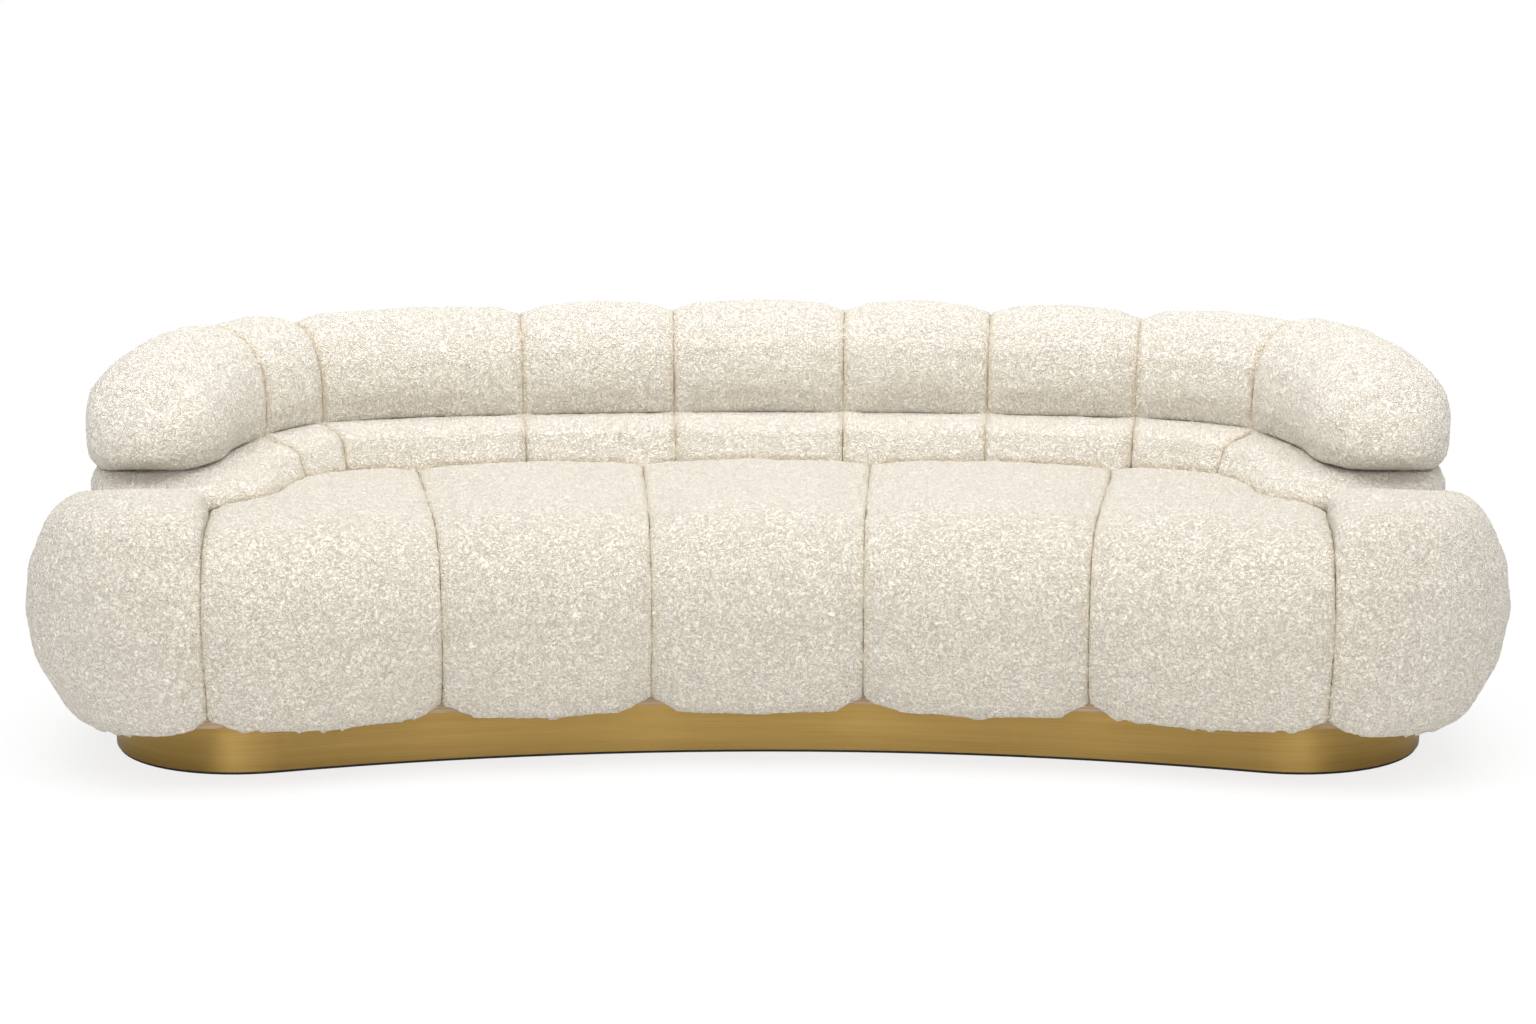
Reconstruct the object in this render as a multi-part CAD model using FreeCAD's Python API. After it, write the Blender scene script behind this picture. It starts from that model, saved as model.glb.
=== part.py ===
# Curved sofa: a kidney-shaped metal-clad plinth, a timber base and back, and stuffed upholstery lobes.
# All sizes are in millimetres. Z is up, the seat faces -Y, and the origin is under the box's middle.
import FreeCAD, Part
import math
import os

# Driving sizes of the upholstery, at the widest line of the base lobes
FRONT_RADIUS = 2760.0
DEPTH_AT_CENTRE = 1000.0
HALF_WIDTH = 1302.0
FRONT_CORNER = 325.0
REAR_CORNER = 600.0
SEAT_HEIGHT = 450.0
BACK_HEIGHT = 735.0
BACK_DROP = 9.0
BACK_DROP_AT = 700.0
END_LOBE_HEIGHT = 480.0

# Plinth: what can be seen is a clad ring on a thin dark strip
PLINTH_SETBACK = 140.0
PLINTH_SIDE_SETBACK = 125.0
PLINTH_CORNER = 255.0
STRIP_HEIGHT = 5.0
STRIP_WIDTH = 25.0
STRIP_INSET = 3.0
PLINTH_TOP = 98.0
BAND_THICKNESS = 1.5
CORE_THICKNESS = 18.0
RIB_THICKNESS = 18.0
RIB_COUNT = 6
RIB_FROM_SIDE = 177.0

# Timber base between the plinth and the deck
PANEL_THICKNESS = 15.0
RAIL_THICKNESS = 26.0
FRAME_SETBACK = 106.0
DECK_TOP = 270.0
DECK_THICKNESS = 20.0
CROSS_RAIL_THICKNESS = 22.0
CROSS_RAIL_COUNT = 5
CROSS_RAIL_FROM_SIDE = 462.0
LINING_THICKNESS = 2.0
LINING_GAP = 2.0
WELL_CLEAR = 2000.0

# Back frame, on a line that runs along the middle of the rolls
ROLL_LINE_FROM_REAR = 190.0
ROLL_LINE_FROM_SIDE = 208.0
ROLL_LINE_CORNER = 450.0
SILL_HALF_WIDTH = 50.0
SILL_TOP = 402.0
BOARD_THICKNESS = 18.0
BOARD_TOP = 655.0
SLOT_CLEARANCE = 1.5
HALF_SLOT = BOARD_THICKNESS / 2 + SLOT_CLEARANCE
SLOT_TOP = BOARD_TOP + SLOT_CLEARANCE

# Upholstery sections
SEAM_DRAW_IN = 23.0
SEAM_LEAD = 44.0
LEAD_DRAW = 0.28
BOTTOM_DRAW_IN = 42.0
ARM_SEAM_DRAW = 0.5
SEAM_GAP = 0.4
TURN_STEP = 0.27
NOSE_STEP = 90.0
ROLL_CLEARANCE = 5.0
NOSE_CLEARANCE = 18.0
SILL_CLEARANCE = 2.0
NOSE_ANGLES = (32, 58, 78)
UNDERSIDE = ((300.0, -35), (102.0, -27))
SEAT_SHOULDER = (200.0, 25)
END_SHOULDER = (300.0, 31)
REAR_WIDEST = 240.0
REAR_UNDERSIDE = ((200.0, -35), (100.0, -25))
REAR_SHOULDER = 90.0
LOWER_DRAW_IN = 19.0
LOWER_FOOT = 30.0
LOWER_BROW = 50.0
OUTER_BROW = 24.0
UPPER_FOOT = 58.0
OUTER_FOOT = 32.0
UNDER_ROLL = 20.0
FOAM_AT_RAIL = 100.0
WIDEST_HEIGHT = 280.0
SEAT_LENGTH = 615.0
END_LOBE_REACH = 300.0
HOOK_LENGTH = FRAME_SETBACK + RAIL_THICKNESS
HOOK_FLAT = 2.0
HOOK_BOTTOM = 375.0
GROOVE_HEIGHT = 515.0
GROOVE_DROP = 28.0
GROOVE_DROP_RUN = 355.0
UPPER_HALF_DEPTH = 130.0
LOWER_INNER = 210.0
LOWER_OUTER = 128.0
NOSE_LENGTH = 125.0
CROWN_FALL = 350.0
CROWN_DROP = 0.4
FIT_GAP = 0.5

# Seams: the outer ones lie just past the bends, and the rest share out the rows; plus is the -X side
OUTER_SEAM_PAST_BEND = 57.6
SIDE_SEAM_PAST_BEND = 20.4
FRONT_SEAM_SHARES = (-1, -0.570, -0.170, 0.208, 0.579, 1)
BACK_SEAM_SHARES = (-0.777, -0.542, -0.325, -0.112, 0.139, 0.362, 0.687, 0.823)
REAR_SEAM_SPACING = 390.0

# Plan geometry worked out from the sizes above
REAR_RADIUS = FRONT_RADIUS + DEPTH_AT_CENTRE


def corner_distance(corner_x, reach):
    return math.sqrt(reach ** 2 - corner_x ** 2)


FRONTMOST = corner_distance(HALF_WIDTH - FRONT_CORNER, FRONT_RADIUS + FRONT_CORNER) - FRONT_CORNER
CENTRE_Y = -(FRONTMOST + REAR_RADIUS) / 2


class Kidney:
    # A closed outline of tangent arcs, hollow in front, about the centre of curvature.
    def __init__(self, front_radius, rear_radius, half_width, front_corner, rear_corner):
        self.front_radius = front_radius
        self.rear_radius = rear_radius
        self.front_corner = front_corner
        self.rear_corner = rear_corner
        self.front_x = half_width - front_corner
        self.rear_x = half_width - rear_corner
        self.front_y = CENTRE_Y + corner_distance(self.front_x, front_radius + front_corner)
        self.rear_y = CENTRE_Y + corner_distance(self.rear_x, rear_radius - rear_corner)
        self.front_angle = math.asin(self.front_x / (front_radius + front_corner))
        self.rear_angle = math.asin(self.rear_x / (rear_radius - rear_corner))
        self.lengths = (
            front_radius * self.front_angle,
            front_corner * (math.pi / 2 + self.front_angle),
            self.rear_y - self.front_y,
            rear_corner * (math.pi / 2 - self.rear_angle),
            rear_radius * self.rear_angle,
        )
        self.half_length = sum(self.lengths)

    def station(self, s):
        # The point and outward direction at a distance along the outline; minus runs along the +X side.
        side = -1.0
        if s < 0:
            side, s = 1.0, -s
        if s > self.half_length:
            side, s = -side, 2 * self.half_length - s
        front, corner, straight, rear_corner, _ = self.lengths
        if s <= front:
            a = s / self.front_radius
            x, y = self.front_radius * math.sin(a), CENTRE_Y + self.front_radius * math.cos(a)
            nx, ny = -math.sin(a), -math.cos(a)
        elif s <= front + corner:
            a = (s - front) / self.front_corner - self.front_angle
            nx, ny = math.sin(a), -math.cos(a)
            x, y = self.front_x + self.front_corner * nx, self.front_y + self.front_corner * ny
        elif s <= front + corner + straight:
            nx, ny = 1.0, 0.0
            x, y = self.front_x + self.front_corner, self.front_y + s - front - corner
        elif s <= front + corner + straight + rear_corner:
            a = (s - front - corner - straight) / self.rear_corner
            nx, ny = math.cos(a), math.sin(a)
            x, y = self.rear_x + self.rear_corner * nx, self.rear_y + self.rear_corner * ny
        else:
            a = (self.half_length - s) / self.rear_radius
            nx, ny = math.sin(a), math.cos(a)
            x, y = self.rear_radius * nx, CENTRE_Y + self.rear_radius * ny
        return side * x, y, side * nx, ny

    def wire(self, inset, z):
        # Arcs through the stations at the ends and middle of each stretch, moved in by the inset.
        stops = [0.0]
        for length in self.lengths:
            stops += [stops[-1] + length / 2, stops[-1] + length]

        def at(s):
            x, y, nx, ny = self.station(s)
            return FreeCAD.Vector(x - inset * nx, y - inset * ny, z)

        edges = []
        for sign in (1.0, -1.0):
            for i in range(0, len(stops) - 2, 2):
                a, m, b = [at(sign * s) for s in stops[i:i + 3]]
                edges.append(Part.makeLine(a, b) if i == 4 else Part.Arc(a, m, b).toShape())
        return Part.Wire(Part.__sortEdges__(edges))

    def slab(self, inset, z, height):
        return Part.Face(self.wire(inset, z)).extrude(FreeCAD.Vector(0, 0, height))

    def ring(self, inset, thickness, z, height):
        return self.slab(inset, z, height).cut(self.slab(inset + thickness, z, height))


class RollLine:
    # The open line along the middle of the back rolls, from the middle of the rear to the nose of each arm.
    def __init__(self):
        self.radius = REAR_RADIUS - ROLL_LINE_FROM_REAR
        self.corner = ROLL_LINE_CORNER
        self.corner_x = HALF_WIDTH - ROLL_LINE_FROM_SIDE - self.corner
        self.corner_y = CENTRE_Y + corner_distance(self.corner_x, self.radius - self.corner)
        self.angle = math.asin(self.corner_x / (self.radius - self.corner))
        self.rear_length = self.radius * self.angle
        self.length = self.rear_length + self.corner * (math.pi / 2 - self.angle)

    def station(self, s):
        # The point and outward direction; past the end of the line it runs straight on into the nose.
        side = -1.0 if s >= 0 else 1.0
        s = abs(s)
        if s <= self.rear_length:
            a = s / self.radius
            nx, ny = math.sin(a), math.cos(a)
            x, y = self.radius * nx, CENTRE_Y + self.radius * ny
        elif s <= self.length:
            a = self.angle + (s - self.rear_length) / self.corner
            nx, ny = math.sin(a), math.cos(a)
            x, y = self.corner_x + self.corner * nx, self.corner_y + self.corner * ny
        else:
            nx, ny = 1.0, 0.0
            x, y = self.corner_x + self.corner, self.corner_y - (s - self.length)
        return side * x, y, side * nx, ny

    def band(self, inner, outer, nose, z, height):
        # A wall along the line between two offsets, with rounded or square ends.
        def at(s, n):
            x, y, nx, ny = self.station(s)
            return FreeCAD.Vector(x + n * nx, y + n * ny, z)

        bend, end = self.rear_length, self.length
        edges = []
        for n in (-inner, outer):
            edges.append(Part.Arc(at(-bend, n), at(0, n), at(bend, n)).toShape())
            for sign in (-1, 1):
                middle = at(sign * (bend + end) / 2, n)
                edges.append(Part.Arc(at(sign * bend, n), middle, at(sign * end, n)).toShape())
        for sign in (-1, 1):
            a, b = at(sign * end, -inner), at(sign * end, outer)
            if nose:
                edges.append(Part.Arc(a, at(sign * (end + nose), (outer - inner) / 2), b).toShape())
            else:
                edges.append(Part.makeLine(a, b))
        return Part.Face(Part.Wire(Part.__sortEdges__(edges))).extrude(FreeCAD.Vector(0, 0, height))


SHELL = Kidney(FRONT_RADIUS, REAR_RADIUS, HALF_WIDTH, FRONT_CORNER, REAR_CORNER)
PLINTH = Kidney(
    FRONT_RADIUS + PLINTH_SETBACK, REAR_RADIUS - PLINTH_SETBACK, HALF_WIDTH - PLINTH_SIDE_SETBACK,
    PLINTH_CORNER, REAR_CORNER - PLINTH_SETBACK,
)
ROLLS = RollLine()

OUTER_SEAM = SHELL.lengths[0] + OUTER_SEAM_PAST_BEND
SIDE_SEAM = SHELL.lengths[0] + SHELL.lengths[1] + SIDE_SEAM_PAST_BEND
FRONT_SEAMS = [share * OUTER_SEAM for share in FRONT_SEAM_SHARES]
BACK_SEAMS = [share * ROLLS.length for share in BACK_SEAM_SHARES]


def section(station, path):
    # A closed wire in the upright plane at a station, of arcs through three points joined by lines.
    x, y, nx, ny = station

    def at(point):
        return FreeCAD.Vector(x + point[0] * nx, y + point[0] * ny, point[1])

    edges = []
    steps = [step if isinstance(step[0], tuple) else (step,) for step in path]
    for step, after in zip(steps, steps[1:] + steps[:1]):
        if len(step) == 3:
            edges.append(Part.Arc(*[at(point) for point in step]).toShape())
        if math.dist(step[-1], after[0]) > 0.001:
            edges.append(Part.makeLine(at(step[-1]), at(after[0])))
    return Part.Wire(edges)


def rounding(start, heading, arcs, d):
    # Arcs that carry on from each other, as radius and turn, all drawn in by d towards their own centres.
    side = math.copysign(1.0, arcs[0][1])
    heading = math.radians(heading)
    n, z = start[0] - side * d * math.sin(heading), start[1] + side * d * math.cos(heading)
    run = []
    for radius, turn in arcs:
        r, turn = radius - d, math.radians(turn)
        cn, cz = n - side * r * math.sin(heading), z + side * r * math.cos(heading)
        points = []
        for part in (0, turn / 2, turn):
            a = heading + part
            points.append((cn + side * r * math.sin(a), cz - side * r * math.cos(a)))
        run.append(tuple(points))
        n, z = points[-1]
        heading += turn
    return run


def backwards(run):
    return [step[::-1] if isinstance(step[0], tuple) else step for step in reversed(run)]


def moved(path, move):
    # Every point of the path, alone or in an arc, sent through one function.
    return [tuple(move(p) for p in step) if isinstance(step[0], tuple) else move(step) for step in path]


def mirrored(run):
    return backwards(moved(run, lambda p: (-p[0], p[1])))


def plain(path):
    # Two chords for each arc, where a lobe is small or out of sight.
    return [point for step in path for point in (step if isinstance(step[0], tuple) else (step,))]


def fanned(start, end):
    # Stations of a deep lobe, whose directions swing evenly from one seam to the other and never cross.
    first, last = [math.atan2(*SHELL.station(s)[2:][::-1]) for s in (start, end)]

    def station(s):
        x, y, _, _ = SHELL.station(s)
        a = first + (last - first) * (s - start) / (end - start)
        return x, y, math.cos(a), math.sin(a)

    return station


def lobe_stops(line, start, end):
    # Where the sections of a lobe stand, closer in the bends, with how far the seam draws each one in.
    lead = min(SEAM_LEAD, (end - start) / 5)
    first, last = [FreeCAD.Vector(*line.station(s)[2:], 0) for s in (start + lead, end - lead)]
    inner = max(2, math.ceil(first.getAngle(last) / TURN_STEP))
    stops = [(start + SEAM_GAP / 2, 1.0)]
    for i in range(inner + 1):
        t = i / inner
        stops.append((start + lead + t * (end - start - 2 * lead), LEAD_DRAW * (2 * t - 1) ** 2))
    return stops + [(end - SEAM_GAP / 2, 1.0)]


def seat_path(draw, shoulder, height, reach, step_down):
    # Down the front rail and over the deck; the centre lobes step down to run on under the lower roll.
    d, lift = SEAM_DRAW_IN * draw, BOTTOM_DRAW_IN * draw
    low = rounding((lift - d, WIDEST_HEIGHT), -90, UNDERSIDE, lift)
    radius, turn = shoulder
    rise = height - WIDEST_HEIGHT - radius * math.sin(math.radians(turn))
    half_crown = (rise / (1 - math.sin(math.radians(turn))), (90 - turn) / 2)
    top = rounding((0, WIDEST_HEIGHT), 90, [shoulder, half_crown, half_crown], d)
    under = [(-reach + UNDER_ROLL, SILL_TOP), (-reach, SILL_TOP)] if step_down else []
    rear = [(-reach + (UNDER_ROLL if step_down else 0), height - d / 2)]
    return plain(backwards(low) + top) + rear + under + [(-reach, DECK_TOP), (-FOAM_AT_RAIL, DECK_TOP)]


def hook_path(draw):
    # A pad on the outside of the side and rear rails that hooks over their top, under the lower roll.
    d, lift = SEAM_DRAW_IN * draw, BOTTOM_DRAW_IN * draw
    low = rounding((lift - d, REAR_WIDEST), -90, REAR_UNDERSIDE, lift)
    top = rounding((0, SILL_TOP - REAR_SHOULDER), 90, [(REAR_SHOULDER, 90)], d)
    hook = [(-HOOK_LENGTH, SILL_TOP), (-HOOK_LENGTH, HOOK_BOTTOM), (-FOAM_AT_RAIL, HOOK_BOTTOM)]
    return plain(backwards(low) + top + [(-REAR_SHOULDER - HOOK_FLAT, SILL_TOP)] + hook)


def cheek(d, reach, groove, radius):
    # One side of the lower roll, drawn in level between its foot and the groove, so that both stay closed.
    top = groove - FIT_GAP
    foot = rounding((reach - d, SILL_TOP + LOWER_FOOT - d), -90, [(LOWER_FOOT - d, -90)], 0)
    brow = rounding((reach - d, top - radius + d), 90, [(radius - d, 90)], 0)
    return plain(backwards(foot) + brow)


def lower_path(draw, scale, s):
    d, groove = LOWER_DRAW_IN * draw, groove_height(s)
    path = cheek(d, LOWER_OUTER, groove, OUTER_BROW) + mirrored(cheek(d, LOWER_INNER, groove, LOWER_BROW))
    return shrink(path, (LOWER_OUTER - LOWER_INNER) / 2, scale, (SILL_TOP + groove) / 2, scale)


def lower_front_path(draw, _, s):
    d, groove = LOWER_DRAW_IN * draw, groove_height(s)
    split = [(-HALF_SLOT, SILL_TOP), (-HALF_SLOT, groove - FIT_GAP)]
    return mirrored(cheek(d, LOWER_INNER, groove, LOWER_BROW)) + split


def lower_rear_path(draw, _, s):
    d, groove = LOWER_DRAW_IN * draw, groove_height(s)
    split = [(HALF_SLOT, groove - FIT_GAP), (HALF_SLOT, SILL_TOP)]
    return cheek(d, LOWER_OUTER, groove, OUTER_BROW) + split


def flank(d, groove, crest, radius):
    # One side of the upper roll, from the foot, which stays down on the groove, round to the crest.
    foot = rounding((UPPER_HALF_DEPTH - d, groove + radius - d), -90, [(radius - d, -90)], 0)
    half_arc = (UPPER_HALF_DEPTH, 45)
    top = rounding((UPPER_HALF_DEPTH, crest - UPPER_HALF_DEPTH), 90, [half_arc, half_arc], d)
    return plain(backwards(foot) + top)


def upper_nose_path(draw, scale, s):
    # A fat roll with a flat foot, its widest line low down and a full crown.
    d, groove = SEAM_DRAW_IN * draw, groove_height(s)
    path = flank(d, groove, BACK_HEIGHT, OUTER_FOOT) + mirrored(flank(d, groove, BACK_HEIGHT, UPPER_FOOT))
    return shrink(path, 0.0, scale, groove + OUTER_FOOT, scale * crown_scale(s))


def upper_path(draw, _, s):
    # The same roll, slotted from below over the back board.
    d, groove = SEAM_DRAW_IN * draw, groove_height(s)
    crest = crest_height(s)
    slot = [(-HALF_SLOT, groove), (-HALF_SLOT, SLOT_TOP), (HALF_SLOT, SLOT_TOP), (HALF_SLOT, groove)]
    return flank(d, groove, crest, OUTER_FOOT) + mirrored(flank(d, groove, crest, UPPER_FOOT)) + slot


def shrink(path, n, n_scale, z, z_scale):
    # The path drawn together about a point, for the rounded end of an arm.
    def move(point):
        return (n + (point[0] - n) * n_scale, z + (point[1] - z) * z_scale)

    return moved(path, move)


def loft(wires):
    return Part.makeLoft(wires, True, True)


def base_lobe(station, start, end, path, *sizes):
    return loft([section(station(s), path(draw, *sizes)) for s, draw in lobe_stops(SHELL, start, end)])


def crest_height(s):
    return BACK_HEIGHT - BACK_DROP * min(1.0, (s / BACK_DROP_AT) ** 2)


def crown_scale(s):
    # The crown of an arm falls ahead of its sides, from well behind the nose.
    along = (abs(s) - ROLLS.length + CROWN_FALL) / (CROWN_FALL + NOSE_LENGTH)
    return 1.0 - CROWN_DROP * max(0.0, along) ** 2


def groove_height(s):
    along = (abs(s) - ROLLS.length) / GROOVE_DROP_RUN + 1
    return GROOVE_HEIGHT - GROOVE_DROP * min(1.0, max(0.0, along))


def seam_share(s):
    # The seams next to the arms are drawn in less than the others.
    return ARM_SEAM_DRAW if min(abs(s - BACK_SEAMS[0]), abs(s - BACK_SEAMS[-1])) < SEAM_LEAD / 2 else 1.0


def back_lobe(start, end, path):
    stops = lobe_stops(ROLLS, start, end)
    return loft([section(ROLLS.station(s), path(draw * seam_share(s), 1.0, s)) for s, draw in stops])


def nose_lobe(seam, path):
    # The last lobe of a row, which closes in a rounded nose at the front of the arm.
    side = math.copysign(1.0, seam)
    near = abs(seam)
    straight = ROLLS.length - near - SEAM_LEAD
    steps = math.ceil(straight / NOSE_STEP)
    stops = [(near + SEAM_GAP / 2, ARM_SEAM_DRAW, 1.0), (near + SEAM_LEAD, LEAD_DRAW * ARM_SEAM_DRAW, 1.0)]
    stops += [(near + SEAM_LEAD + straight * i / steps, 0.0, 1.0) for i in range(1, steps + 1)]
    for angle in NOSE_ANGLES:
        a = math.radians(angle)
        stops.append((ROLLS.length + NOSE_LENGTH * math.sin(a), 0.0, math.cos(a)))
    return loft([section(ROLLS.station(side * s), path(draw, scale, s)) for s, draw, scale in stops])


# The space that the lower roll takes over the base lobes at the arms
ROLL_SPACE = ROLLS.band(
    LOWER_INNER + ROLL_CLEARANCE, LOWER_OUTER + ROLL_CLEARANCE, NOSE_LENGTH + NOSE_CLEARANCE,
    SILL_TOP, BACK_HEIGHT,
)
SILL_SPACE = ROLLS.band(
    SILL_HALF_WIDTH + SILL_CLEARANCE, SILL_HALF_WIDTH + SILL_CLEARANCE, 0, DECK_TOP, SILL_TOP - DECK_TOP,
)


def seat_lobes():
    # The outer two lobes reach under the arms, so the lower roll is cut from them.
    lobes = []
    sizes = (SEAT_SHOULDER, SEAT_HEIGHT, SEAT_LENGTH)
    for a, b in zip(FRONT_SEAMS, FRONT_SEAMS[1:]):
        outer = max(abs(a), abs(b)) == abs(FRONT_SEAMS[0])
        lobe = base_lobe(fanned(a, b), a, b, seat_path, *sizes, not outer)
        lobes.append(lobe.cut(ROLL_SPACE).cut(SILL_SPACE) if outer else lobe)
    return lobes


def end_lobes():
    ends = [(FRONT_SEAMS[-1], SIDE_SEAM), (-SIDE_SEAM, FRONT_SEAMS[0])]
    sizes = (END_SHOULDER, END_LOBE_HEIGHT, END_LOBE_REACH, False)
    return [base_lobe(SHELL.station, a, b, seat_path, *sizes).cut(ROLL_SPACE) for a, b in ends]


def rear_lobes():
    # Side and rear channels at an even spacing from the side seam round to the other side.
    span = 2 * (SHELL.half_length - SIDE_SEAM)
    count = round(span / REAR_SEAM_SPACING)
    seams = [SIDE_SEAM + span * i / count for i in range(count + 1)]
    return [base_lobe(SHELL.station, a, b, hook_path) for a, b in zip(seams, seams[1:])]


def back_row(path):
    return [back_lobe(a, b, path) for a, b in zip(BACK_SEAMS, BACK_SEAMS[1:])]


def noses(path):
    return [nose_lobe(BACK_SEAMS[0], path), nose_lobe(BACK_SEAMS[-1], path)]


def board_on_line(half, bottom, top):
    # A bent board made at the same stations as the lobes, so that its faces lie along theirs.
    wires = []
    outline = [(-half, bottom), (half, bottom), (half, top), (-half, top)]
    for a, b in zip(BACK_SEAMS, BACK_SEAMS[1:]):
        wires += [section(ROLLS.station(s), outline) for s, _ in lobe_stops(ROLLS, a, b)]
    return loft(wires)


def spread(count, reach):
    # Even places from one side to the other.
    return [reach * (2 * i / (count - 1) - 1) for i in range(count)]


def upright_board(x, thickness, inset, outline, z, height):
    box = Part.makeBox(thickness, 2 * WELL_CLEAR, height, FreeCAD.Vector(x - thickness / 2, -WELL_CLEAR, z))
    return box.common(outline.slab(inset, z, height))


def frame_nodes():
    core_inset = BAND_THICKNESS + FIT_GAP / 2
    core_height = PLINTH_TOP - STRIP_HEIGHT
    base_z = PLINTH_TOP + PANEL_THICKNESS
    deck_z = DECK_TOP - DECK_THICKNESS
    nodes = {
        "floor_strip": PLINTH.ring(STRIP_INSET, STRIP_WIDTH, 0, STRIP_HEIGHT),
        "plinth_band": PLINTH.ring(0, BAND_THICKNESS, STRIP_HEIGHT, core_height),
        "plinth_core": PLINTH.ring(core_inset, CORE_THICKNESS, STRIP_HEIGHT, core_height),
        "dust_cover": PLINTH.slab(
            STRIP_INSET + STRIP_WIDTH + LINING_GAP, STRIP_HEIGHT - LINING_THICKNESS, LINING_THICKNESS,
        ),
        "base_panel": SHELL.slab(FRAME_SETBACK, PLINTH_TOP, PANEL_THICKNESS),
    }
    for i, x in enumerate(spread(RIB_COUNT, HALF_WIDTH - PLINTH_SIDE_SETBACK - RIB_FROM_SIDE), 1):
        nodes["plinth_rib_%d" % i] = upright_board(
            x, RIB_THICKNESS, core_inset + CORE_THICKNESS, PLINTH, STRIP_HEIGHT, core_height,
        )
    split = SHELL.station(SIDE_SEAM)[1]
    corner = FreeCAD.Vector(-WELL_CLEAR, split - 2 * WELL_CLEAR, 0)
    ends = Part.makeBox(2 * WELL_CLEAR, 2 * WELL_CLEAR, BACK_HEIGHT, corner)
    hollow_radius = FRONT_RADIUS + FRAME_SETBACK + RAIL_THICKNESS + FIT_GAP
    front = ends.fuse(Part.makeCylinder(hollow_radius, BACK_HEIGHT, FreeCAD.Vector(0, CENTRE_Y, 0)))
    nodes["front_rail"] = SHELL.ring(FRAME_SETBACK, RAIL_THICKNESS, base_z, deck_z - base_z).common(front)
    nodes["rear_rail"] = SHELL.ring(FRAME_SETBACK, RAIL_THICKNESS, base_z, HOOK_BOTTOM - base_z).cut(front)
    for i, x in enumerate(spread(CROSS_RAIL_COUNT, HALF_WIDTH - CROSS_RAIL_FROM_SIDE), 1):
        nodes["cross_rail_%d" % i] = upright_board(
            x, CROSS_RAIL_THICKNESS, FRAME_SETBACK + RAIL_THICKNESS, SHELL, base_z, deck_z - base_z,
        )
    deck = SHELL.slab(FRAME_SETBACK, deck_z, DECK_THICKNESS)
    space = SHELL.ring(0, FRAME_SETBACK + RAIL_THICKNESS + FIT_GAP, deck_z, DECK_THICKNESS).cut(front)
    nodes["deck_panel"] = deck.cut(space)
    nodes["back_sill"] = ROLLS.band(SILL_HALF_WIDTH, SILL_HALF_WIDTH, 0, DECK_TOP, SILL_TOP - DECK_TOP)
    nodes["back_board"] = board_on_line(BOARD_THICKNESS / 2, SILL_TOP, BOARD_TOP)
    return nodes


def upholstery_nodes():
    return {
        "seat_lobes": Part.makeCompound(seat_lobes()),
        "end_lobes": Part.makeCompound(end_lobes()),
        "rear_lobes": Part.makeCompound(rear_lobes()),
        "lower_roll_front": Part.makeCompound(back_row(lower_front_path)),
        "lower_roll_rear": Part.makeCompound(back_row(lower_rear_path)),
        "lower_arm_noses": Part.makeCompound(noses(lower_path)),
        "upper_roll": Part.makeCompound(back_row(upper_path)),
        "upper_arm_noses": Part.makeCompound(noses(upper_nose_path)),
    }


def main():
    os.makedirs("parts", exist_ok=True)
    nodes = frame_nodes()
    nodes.update(upholstery_nodes())
    box = Part.makeCompound(list(nodes.values())).optimalBoundingBox(False, False)
    to_middle = FreeCAD.Vector(0, -(box.YMin + box.YMax) / 2, 0)
    for name, shape in nodes.items():
        shape.translate(to_middle)
        shape.exportStep("parts/%s.step" % name)
        print(name, len(shape.Solids), "solids", "valid" if shape.isValid() else "NOT VALID")
    print("moved by", to_middle.y, "box", box.XMin, box.XMax, box.YMin, box.YMax, box.ZMin, box.ZMax)


main()
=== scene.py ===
# Curved sofa in ivory curly pile on a brushed brass plinth.
# It is dressed in the order of building: strip, plinth, timber, lobes, back rolls, and then the studio.
import math

import bmesh
import bpy
import numpy as np
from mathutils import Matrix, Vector
from mathutils.bvhtree import BVHTree


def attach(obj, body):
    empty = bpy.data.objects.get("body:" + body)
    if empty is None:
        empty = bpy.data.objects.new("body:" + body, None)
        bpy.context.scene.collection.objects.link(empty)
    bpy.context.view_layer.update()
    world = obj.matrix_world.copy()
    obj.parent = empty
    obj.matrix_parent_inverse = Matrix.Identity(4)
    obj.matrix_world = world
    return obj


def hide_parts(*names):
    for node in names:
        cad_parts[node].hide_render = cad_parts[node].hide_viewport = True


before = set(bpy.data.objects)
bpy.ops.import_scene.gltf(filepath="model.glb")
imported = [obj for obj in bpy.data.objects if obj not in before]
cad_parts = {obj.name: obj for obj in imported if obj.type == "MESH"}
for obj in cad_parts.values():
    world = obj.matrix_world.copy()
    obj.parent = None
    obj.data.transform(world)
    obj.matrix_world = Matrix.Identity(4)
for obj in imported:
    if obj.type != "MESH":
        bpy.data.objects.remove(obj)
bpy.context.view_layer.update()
scene = bpy.context.scene


# Floor strip: a thin black plastic edging stapled under the plinth, which lifts the metal off the floor.
# It is moulded in one colour, a little scuffed and dusty where it meets the ground.
def new_material(name, colour, roughness):
    made = bpy.data.materials.new(name)
    made.use_nodes = True
    surface = made.node_tree.nodes["Principled BSDF"]
    surface.inputs["Base Color"].default_value = (*colour, 1)
    surface.inputs["Roughness"].default_value = roughness
    return made, made.node_tree, surface


def add(tree, kind, **settings):
    # A shader node: settings and inputs go by name, in0 is the first input, and an output is linked.
    node = tree.nodes.new("ShaderNode" + kind)
    for key, value in settings.items():
        if hasattr(node, key):
            setattr(node, key, value)
            continue
        numbered = key.startswith("in") and key[2:].isdigit()
        socket = node.inputs[int(key[2:]) if numbered else key.replace("_", " ")]
        if isinstance(value, bpy.types.NodeSocket):
            tree.links.new(value, socket)
        else:
            socket.default_value = value
    return node


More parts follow.
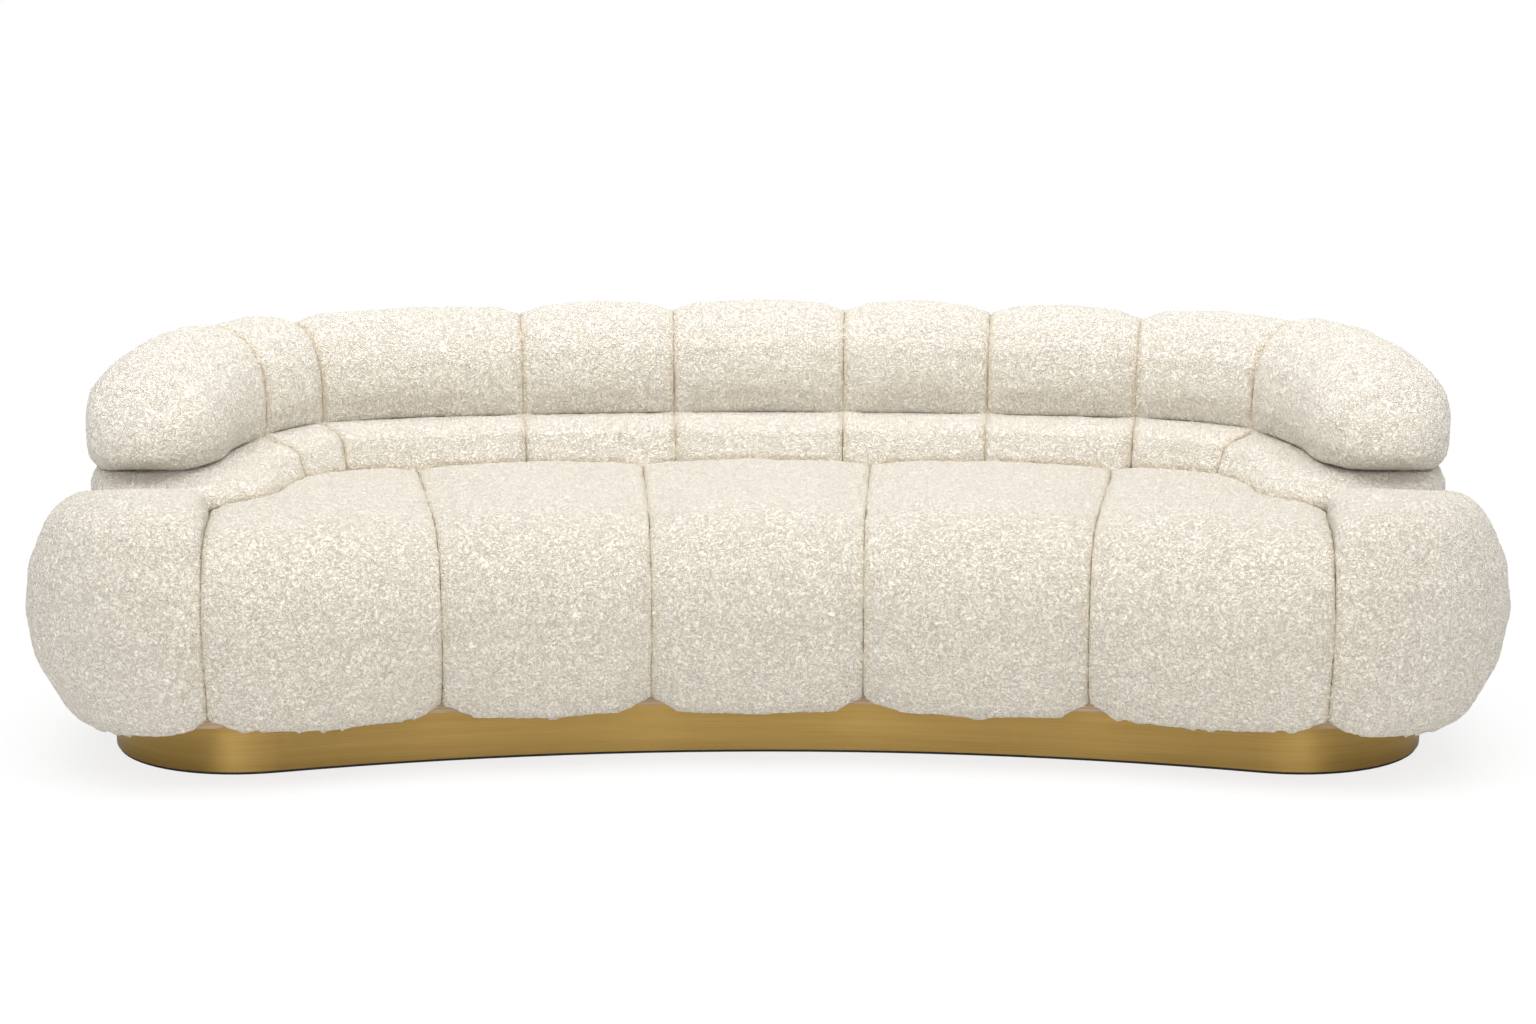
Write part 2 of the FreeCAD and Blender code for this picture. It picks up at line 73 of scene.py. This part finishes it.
def drive(tree, surface, **outputs):
    # The inputs of a surface, by name, linked from the outputs of other nodes.
    for name, output in outputs.items():
        tree.links.new(output, surface.inputs[name.replace("_", " ")])


def place(tree, scale=(1, 1, 1)):
    # Where a point of the piece is, in metres, stretched by a scale along each axis.
    where = add(tree, "TexCoord").outputs["Object"]
    return add(tree, "Mapping", Vector=where, Scale=scale).outputs["Vector"]


def noise_at(tree, where, scale, detail, **settings):
    return add(tree, "TexNoise", Vector=where, Scale=scale, Detail=detail, **settings).outputs["Fac"]


def spread(tree, value, low, high):
    # A value between 0 and 1, brought between two others.
    return add(tree, "MapRange", Value=value, To_Min=low, To_Max=high).outputs[0]


def ramp(tree, factor, *stops):
    node = add(tree, "ValToRGB", Fac=factor)
    for stop, (at, colour) in zip(node.color_ramp.elements, stops):
        stop.position = at
        stop.color = (*colour, 1)
    return node.outputs["Color"]


def finish_node(name, material):
    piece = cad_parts[name]
    piece.data.materials.clear()
    piece.data.materials.append(material)


strip_plastic, tree, surface = new_material("strip_plastic", (0.012, 0.012, 0.012), 0.55)
scuffs = noise_at(tree, place(tree), 60.0, 5.0)
tone = ramp(tree, scuffs, (0.35, (0.008, 0.008, 0.008)), (0.75, (0.03, 0.028, 0.025)))
drive(tree, surface, Base_Color=tone, Roughness=spread(tree, scuffs, 0.4, 0.7))
finish_node("floor_strip", strip_plastic)


# Plinth band: a strip of brass-finished sheet, bent round the plinth and brushed along its length.
# The brushing leaves fine level lines, and the lacquer over it is a little cloudy here and there.
def multiplied(tree, share, first, second):
    # A colour, darkened by a share of another one.
    return add(
        tree, "Mix", data_type="RGBA", blend_type="MULTIPLY", in0=share, in6=first, in7=second,
    ).outputs[2]


brushed_brass, tree, surface = new_material("brushed_brass", (0.56, 0.385, 0.155), 0.3)
surface.inputs["Metallic"].default_value = 1.0
surface.inputs["Anisotropic"].default_value = 0.85
surface.inputs["Anisotropic Rotation"].default_value = 0.25
tangent = add(tree, "Tangent", direction_type="RADIAL", axis="Z").outputs["Tangent"]
lines = noise_at(tree, place(tree, (4, 4, 1400)), 1.0, 3.0, Roughness=0.7)
broad = noise_at(tree, place(tree, (3, 3, 60)), 1.0, 2.0)
tone = ramp(tree, lines, (0.25, (0.43, 0.275, 0.085)), (0.75, (0.58, 0.4, 0.135)))
cloud = ramp(tree, broad, (0.3, (0.9, 0.9, 0.88)), (0.7, (1.0, 1.0, 1.0)))
brushing = add(tree, "Bump", Height=lines, Strength=0.12, Distance=0.0006).outputs["Normal"]
drive(
    tree, surface, Base_Color=multiplied(tree, 1.0, tone, cloud), Roughness=spread(tree, lines, 0.38, 0.52),
    Normal=brushing, Tangent=tangent,
)
finish_node("plinth_band", brushed_brass)

# Hidden timber: bent and flat birch ply for the plinth, rails, deck and back board, with a solid sill.
# It is glued and screwed up as a frame. The layers show at the edges, and the faces keep their long grain.
birch_ply, tree, surface = new_material("birch_ply", (0.55, 0.4, 0.25), 0.6)
layers = add(
    tree, "TexWave", Vector=place(tree), Scale=60.0, Distortion=1.5, bands_direction="Z",
).outputs["Color"]
grain = noise_at(tree, place(tree, (3, 40, 40)), 2.0, 6.0)
tone = ramp(tree, grain, (0.3, (0.42, 0.28, 0.15)), (0.7, (0.62, 0.46, 0.3)))
pores = add(tree, "Bump", Height=grain, Strength=0.2, Distance=0.0005).outputs["Normal"]
drive(tree, surface, Base_Color=multiplied(tree, 0.25, tone, layers), Normal=pores)
TIMBER_STARTS = ("plinth_core", "plinth_rib", "cross_rail")
TIMBER_ENDS = ("panel", "_rail", "sill", "board")
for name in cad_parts:
    if name.startswith(TIMBER_STARTS) or name.endswith(TIMBER_ENDS):
        finish_node(name, birch_ply)

# Dust cover: thin black spun cloth stapled across the underside.
# Its fibres run every way and catch a little dust.
black_cloth, tree, surface = new_material("black_cloth", (0.02, 0.02, 0.02), 0.9)
fibres = noise_at(tree, place(tree), 400.0, 4.0)
tone = ramp(tree, fibres, (0.3, (0.012, 0.012, 0.012)), (0.7, (0.035, 0.035, 0.037)))
drive(tree, surface, Base_Color=tone)
finish_node("dust_cover", black_cloth)

# Seat lobes: five deep foam blocks in curly pile, sewn side by side and pulled down over the front rail.
# The pile is a knitted backing with short curled loops, ivory, with painted shade darker between the loops
# and a warmer painted shade deep in each seam.
STRAND_SIZE = 0.006
STRAND_LAYERS = 3
STRAND_WIDTH = 0.15
LAYER_SHIFT = (3.1, 1.7, 5.3)
LAYER_FADE = 0.22
LAYER_BLEND = 0.2
TUFT_SCALE = 45.0
TUFT_SHARE = 0.25
curls = bpy.data.node_groups.new("curly pile", "ShaderNodeTree")
for name, kind in (("Vector", "NodeSocketVector"), ("Size", "NodeSocketFloat")):
    curls.interface.new_socket(name, in_out="INPUT", socket_type=kind)
for name in ("Height", "Shade"):
    curls.interface.new_socket(name, in_out="OUTPUT", socket_type="NodeSocketFloat")
given = curls.nodes.new("NodeGroupInput").outputs


def worked(operation, *values):
    # The result of a sum in the pile's node group.
    inputs = {"in%d" % i: value for i, value in enumerate(values)}
    return add(curls, "Math", operation=operation, **inputs).outputs[0]


scale = worked("DIVIDE", 1.0, given["Size"])
top = None
for i in range(STRAND_LAYERS):
    # Ridges along the level lines of a noise are short winding strands, and the layers of them overlap.
    shift = tuple(step * i for step in LAYER_SHIFT)
    shifted = add(curls, "VectorMath", operation="ADD", in0=given["Vector"], in1=shift).outputs[0]
    away = worked("ABSOLUTE", worked("SUBTRACT", noise_at(curls, shifted, scale, 0.0, Distortion=0.7), 0.5))
    ridge = add(curls, "MapRange", Value=away, From_Max=STRAND_WIDTH, To_Min=1.0, To_Max=0.0).outputs[0]
    strand = worked("MULTIPLY", ridge, 1.0 - LAYER_FADE * i)
    top = worked("SMOOTH_MAX", top, strand, LAYER_BLEND) if top else strand
tufts = noise_at(curls, given["Vector"], TUFT_SCALE, 2.0)
result = curls.nodes.new("NodeGroupOutput")
drive(curls, result, Height=worked("MULTIPLY_ADD", tufts, TUFT_SHARE, top), Shade=top)


def pile_material(name, crest, root, seam_shade_colour):
    # Curly pile: pale on the loops, with painted shade darker between them, and a warmer painted shade in
    # the seams.
    made, tree, surface = new_material(name, crest, 0.95)
    surface.inputs["Specular IOR Level"].default_value = 0.2
    surface.inputs["Sheen Weight"].default_value = 0.5
    surface.inputs["Sheen Roughness"].default_value = 0.5
    group = tree.nodes.new("ShaderNodeGroup")
    group.node_tree = curls
    group.inputs["Size"].default_value = STRAND_SIZE
    drive(tree, group, Vector=place(tree))
    height, shade = group.outputs["Height"], group.outputs["Shade"]
    # Painted seam shade: a warmer, darker colour where a point lies deep in a seam, broken up by the loops.
    seam_shade = add(tree, "Attribute", attribute_name="seam_shade").outputs["Fac"]
    seam = add(tree, "Math", operation="MULTIPLY", in0=seam_shade, in1=spread(tree, shade, 1.0, 0.4)).outputs[0]
    # Painted shade between the loops: the crest colour on the loops, the darker root colour between them.
    tone = ramp(tree, shade, (0.0, root), (0.85, crest))
    colour = add(tree, "Mix", data_type="RGBA", in0=seam, in6=tone, in7=(*seam_shade_colour, 1)).outputs[2]
    relief = add(tree, "Bump", Height=height, Strength=1.0, Distance=0.0026).outputs["Normal"]
    drive(tree, surface, Base_Color=colour, Normal=relief)
    return made


def solids_of(node):
    # The separate solids of a node, each as points, faces, the two ends of its box and a search tree.
    whole = bmesh.new()
    whole.from_mesh(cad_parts[node].data)
    bmesh.ops.remove_doubles(whole, verts=whole.verts, dist=0.00005)
    seen = set()
    found = []
    for start in whole.verts:
        if start in seen:
            continue
        group = [start]
        seen.add(start)
        for vert in group:
            for edge in vert.link_edges:
                other = edge.other_vert(vert)
                if other not in seen:
                    seen.add(other)
                    group.append(other)
        order = {vert: i for i, vert in enumerate(group)}
        faces = {face for vert in group for face in vert.link_faces}
        faces = [[order[vert] for vert in face.verts] for face in sorted(faces, key=lambda face: face.index)]
        points = [vert.co.copy() for vert in group]
        ends = np.array(points)
        found.append((points, faces, ends.min(0), ends.max(0), BVHTree.FromPolygons(points, faces)))
    whole.free()
    return found


solids = {name: solids_of(name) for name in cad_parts}
SOFT = [name for name in solids if "lobes" in name or "_roll" in name or "noses" in name]


def points_of(mesh):
    points = np.empty(len(mesh.vertices) * 3)
    mesh.vertices.foreach_get("co", points)
    return points.reshape(-1, 3)


def normals_of(mesh):
    normals = np.empty(len(mesh.vertices) * 3)
    mesh.vertex_normals.foreach_get("vector", normals)
    return normals.reshape(-1, 3)


def evaluated(piece):
    # The piece with its modifiers applied.
    done = bpy.data.meshes.new_from_object(piece.evaluated_get(bpy.context.evaluated_depsgraph_get()))
    old = piece.data
    piece.modifiers.clear()
    piece.data = done
    bpy.data.meshes.remove(old)


def shared(mesh, values, times):
    # Values at the points, evened out among neighbours.
    ends = np.empty(len(mesh.edges) * 2, int)
    mesh.edges.foreach_get("vertices", ends)
    a, b = ends.reshape(-1, 2).T
    size = len(values)
    count = np.bincount(ends, minlength=size)
    for _ in range(times):
        values = np.stack([
            (np.bincount(a, v[b], size) + np.bincount(b, v[a], size)) / count for v in values.T
        ], 1)
    return values


# How covers press together, and the gaps between solids at which they meet, part, are held and go free
PRESS = 0.0015
MEET_GAP = 0.016
APART_GAP = 0.040
HELD_GAP = 0.003
FREE_RUN = 0.02
SHADE_RUN = 0.0025
TUCK = 0.002


def nearest(tree, points):
    # How far a solid is from each point, and where it is nearest, as far as it is within reach.
    hits = [tree.find_nearest(point, APART_GAP) for point in map(Vector, points)]
    gap = np.array([APART_GAP if hit[0] is None else hit[3] for hit in hits])
    return gap, np.array([point if hit[0] is None else hit[0] for hit, point in zip(hits, points)])


def skinned(node, number, skin):
    # A cover over one solid, swollen to meet the covers beside it, and how free each of its points is.
    points, faces, low, high, _ = solids[node][number]
    mesh = bpy.data.meshes.new("%s_%d" % (node, number + 1))
    mesh.from_pydata(points, [], faces)
    piece = bpy.data.objects.new("%s_cover_%d" % (node, number + 1), mesh)
    scene.collection.objects.link(piece)
    remesh = piece.modifiers.new("skin", "REMESH")
    remesh.mode = "VOXEL"
    remesh.voxel_size = skin
    evaluated(piece)
    at = points_of(piece.data)
    seam_gap = base_gap = np.full(len(at), APART_GAP)
    out = np.zeros_like(at)
    for name in solids:
        for other, (_, _, start, end, tree) in enumerate(solids[name]):
            within_reach = (start < high + APART_GAP).all() and (end > low - APART_GAP).all()
            if not within_reach or (name, other) == (node, number):
                continue
            gap, spot = nearest(tree, at)
            if name not in SOFT:
                base_gap = np.minimum(base_gap, gap)
                continue
            meet = (gap / 2 + PRESS) * np.clip((APART_GAP - gap) / (APART_GAP - MEET_GAP), 0, 1)
            out += (spot - at) * (meet / np.maximum(gap, 0.0001))[:, None]
            seam_gap = np.minimum(seam_gap, gap)
    free = np.clip((np.minimum(seam_gap, base_gap) - HELD_GAP) / FREE_RUN, 0, 1)
    out -= normals_of(piece.data) * (free * TUCK)[:, None]
    piece.data.vertices.foreach_set("co", (at + shared(piece.data, out, 1)).ravel())
    # Painted seam shade: how deep each point lies in a seam, for a warmer, darker colour there.
    seam_shade = piece.data.attributes.new("seam_shade", "FLOAT", "POINT")
    seam_shade.data.foreach_set("value", np.clip(1 - (seam_gap - MEET_GAP) / SHADE_RUN, 0, 1))
    return piece, free


HOLD_STEPS = 20
LAST_FRAME = 20
MOST_PUFF = 0.02
EVENING = 12


def hold(piece, values):
    # How firmly each point is held while the rest is blown up.
    group = piece.vertex_groups.new(name="held")
    steps = np.round(np.clip(values, 0, 1) * HOLD_STEPS).astype(int)
    for step in range(1, HOLD_STEPS + 1):
        chosen = np.nonzero(steps == step)[0].tolist()
        if chosen:
            group.add(chosen, step / HOLD_STEPS, "REPLACE")


def blow_up(pieces, pressure):
    # The covers as the stuffing fills them out, evened and kept within the most that it may push.
    before = []
    for piece, free in pieces:
        hold(piece, 1 - free)
        before.append(points_of(piece.data))
        cloth = piece.modifiers.new("stuffing", "CLOTH")
        cloth.settings.use_pressure = True
        cloth.settings.uniform_pressure_force = pressure
        cloth.settings.effector_weights.gravity = 0
        cloth.settings.quality = 4
        cloth.settings.vertex_group_mass = "held"
        cloth.point_cache.frame_start = 1
        cloth.point_cache.frame_end = LAST_FRAME
    for step in range(1, LAST_FRAME + 1):
        scene.frame_set(step)
    for (piece, free), start in zip(pieces, before):
        evaluated(piece)
        moved = shared(piece.data, points_of(piece.data) - start, EVENING)
        length = np.linalg.norm(moved, axis=1) + 1e-9
        moved *= (np.minimum(length, MOST_PUFF) / length)[:, None]
        piece.data.vertices.foreach_set("co", (start + moved).ravel())
    scene.frame_set(1)


LUMP_HEIGHT = 0.004
TUFT_HEIGHT = 0.0028
SMOOTHINGS = 6
SHOWN_FROM = 0.1
tuft_noise = bpy.data.textures.new("tufts", "CLOUDS")
tuft_noise.noise_scale = 0.008
tuft_noise.noise_depth = 1
lump_noise = bpy.data.textures.new("lumps", "CLOUDS")
lump_noise.noise_scale = 0.09


def dress(node, skin, pressure, material):
    # The covers of a row: finer where they show, with the lie of the stuffing and the tufts in their shape.
    pieces = [skinned(node, number, skin) for number in range(len(solids[node]))]
    blow_up(pieces, pressure)
    for piece, free in pieces:
        shape = bmesh.new()
        shape.from_mesh(piece.data)
        shape.verts.ensure_lookup_table()
        shown = [edge for edge in shape.edges if all(free[vert.index] > SHOWN_FROM for vert in edge.verts)]
        bmesh.ops.subdivide_edges(shape, edges=shown, cuts=1, use_grid_fill=True)
        shape.to_mesh(piece.data)
        shape.free()
        smooth = piece.modifiers.new("smooth", "SMOOTH")
        smooth.factor = 0.5
        smooth.iterations = SMOOTHINGS
        for texture, strength in ((lump_noise, LUMP_HEIGHT), (tuft_noise, TUFT_HEIGHT)):
            push = piece.modifiers.new("push", "DISPLACE")
            push.texture = texture
            push.strength = strength
            push.mid_level = 0.5
        evaluated(piece)
        piece.data.polygons.foreach_set("use_smooth", np.ones(len(piece.data.polygons), bool))
        piece.data.materials.clear()
        piece.data.materials.append(material)
        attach(piece, "root")
        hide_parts(node)


SEAT_IVORY = (0.832, 0.782, 0.692)
# Painted shade between the seat pile's loops.
SEAT_ROOT_SHADE = (0.63, 0.545, 0.41)
# Painted seam shade for the seat pile, warmer and darker.
SEAT_SEAM_SHADE = (0.7, 0.61, 0.46)
seat_pile = pile_material("seat_pile", SEAT_IVORY, SEAT_ROOT_SHADE, SEAT_SEAM_SHADE)
FINE_SKIN = 0.010
DEEP_PRESSURE = 4.0
dress("seat_lobes", FINE_SKIN, DEEP_PRESSURE, seat_pile)

# End lobes: the same stuffed lobes turned round the front corners, a little taller than the seat.
# They are foam in the seat's pile, sewn to the outermost seat lobes and stapled under the rail.
dress("end_lobes", FINE_SKIN, DEEP_PRESSURE, seat_pile)

# Rear lobes: thinner pads of foam in the seat's pile over the outside of the side and rear rails.
# They are hooked over the rails' top edge, and stapled under them.
COARSE_SKIN = 0.012
PAD_PRESSURE = 3.0
dress("rear_lobes", COARSE_SKIN, PAD_PRESSURE, seat_pile)

# Lower row of the back: foam pads either side of the back board, with a rounded nose at each arm.
# Their pile is the seat's pile painted paler, as painted light for the brighter back, sewn in channels and
# drawn tight to the sill below.
# The back's colours are the seat's pile painted lighter: painted light where the back is brighter lit and
# less shaded under the upper roll.
BACK_IVORY_PAINTED_LIGHTER = (0.88, 0.832, 0.75)
# Painted shade between the back pile's loops.
BACK_ROOT_SHADE = (0.72, 0.64, 0.5)
# Painted seam shade for the back pile, warmer and darker.
BACK_SEAM_SHADE = (0.72, 0.62, 0.46)
back_pile = pile_material("back_pile", BACK_IVORY_PAINTED_LIGHTER, BACK_ROOT_SHADE, BACK_SEAM_SHADE)
for node in ("lower_roll_front", "lower_roll_rear", "lower_arm_noses"):
    dress(node, FINE_SKIN, PAD_PRESSURE, back_pile)

# Upper row of the back: fat stuffed rolls in the paler pile, slotted to sit over the board.
# They are sewn in channels that line up with the lower row's, and swell out above the groove.
for node in ("upper_roll", "upper_arm_noses"):
    dress(node, FINE_SKIN, DEEP_PRESSURE, back_pile)

# Studio: a white floor that runs off out of sight in a white room with dark ends.
# One broad lamp hangs above, and two upright ones stand in front on either side.
FLOOR_REACH = 30
FLOOR_NEAR = 1.0
FLOOR_FAR = 2.4
floor_mesh = bpy.data.meshes.new("floor")
floor_corners = [(x * FLOOR_REACH, y * FLOOR_REACH, 0) for x, y in ((-1, -1), (1, -1), (1, 1), (-1, 1))]
floor_mesh.from_pydata(floor_corners, [], [(0, 1, 2, 3)])
floor = bpy.data.objects.new("floor", floor_mesh)
scene.collection.objects.link(floor)
white_floor, tree, surface = new_material("white_floor", (0.93, 0.93, 0.93), 0.8)
surface.inputs["Specular IOR Level"].default_value = 0.1
seen_by = add(tree, "LightPath").outputs
glow = add(tree, "Emission", Color=(1, 1, 1, 1), Strength=1.0)
spot = add(tree, "TexCoord").outputs["Object"]
away = add(tree, "VectorMath", operation="LENGTH", in0=spot).outputs["Value"]
fade = add(tree, "MapRange", Value=away, From_Min=FLOOR_NEAR, From_Max=FLOOR_FAR, To_Min=0.75).outputs[0]
share = add(tree, "Math", operation="MULTIPLY", in0=seen_by["Is Camera Ray"], in1=fade).outputs[0]
blend = add(tree, "MixShader", in0=share, in1=surface.outputs[0], in2=glow.outputs[0])
drive(tree, tree.nodes["Material Output"], Surface=blend.outputs[0])
floor.data.materials.append(white_floor)

room = bpy.data.worlds.new("room")
scene.world = room
room.use_nodes = True
tree = room.node_tree
light = tree.nodes["Background"]
light.inputs["Color"].default_value = (1, 1, 1, 1)
seen_by = add(tree, "LightPath").outputs
plain_wall = spread(tree, seen_by["Is Camera Ray"], 0.71, 1.0)
# The metal sees a bright wall in front, and the dark ends of the room beside it.
towards = add(tree, "SeparateXYZ", Vector=add(tree, "TexCoord").outputs["Generated"]).outputs["X"]
aside = add(tree, "Math", operation="ABSOLUTE", in0=towards).outputs[0]
wall = add(tree, "MapRange", Value=aside, From_Min=0.12, From_Max=0.42, To_Min=1.4, To_Max=0.2).outputs[0]
strength = add(tree, "Mix", in0=seen_by["Is Glossy Ray"], in2=plain_wall, in3=wall).outputs[0]
drive(tree, light, Strength=strength)


def lamp(name, at, aim_height, size, power):
    # A soft lamp, aimed at a height above the middle of the floor.
    made = bpy.data.objects.new(name, bpy.data.lights.new(name, "AREA"))
    made.data.shape = "RECTANGLE"
    made.data.size, made.data.size_y = size
    made.data.energy = power
    made.location = at
    made.rotation_euler = (Vector((0, 0, aim_height)) - Vector(at)).to_track_quat("-Z", "Y").to_euler()
    scene.collection.objects.link(made)


lamp("overhead", at=(0, -0.6, 3.4), aim_height=0.3, size=(4.5, 2.5), power=118)
lamp("left", at=(-1.9, -4.0, 2.0), aim_height=0.35, size=(0.9, 2.2), power=20)
lamp("right", at=(2.0, -3.8, 2.0), aim_height=0.35, size=(1.4, 2.2), power=14)

# Camera: straight in front of the sofa, a little above its back.
# Its place and lens are worked out from the perspective of the photograph.
CAMERA_DISTANCE = 4.554
CAMERA_HEIGHT = 1.28
CAMERA_TILT = 78.8
CAMERA_LENS = 58.594
camera = bpy.data.objects.new("camera", bpy.data.cameras.new("camera"))
camera.data.sensor_width = 36
camera.data.lens = CAMERA_LENS
camera.location = (0, -CAMERA_DISTANCE, CAMERA_HEIGHT)
camera.rotation_euler = (math.radians(CAMERA_TILT), 0, 0)
scene.collection.objects.link(camera)
scene.camera = camera
scene.view_settings.view_transform = "Standard"
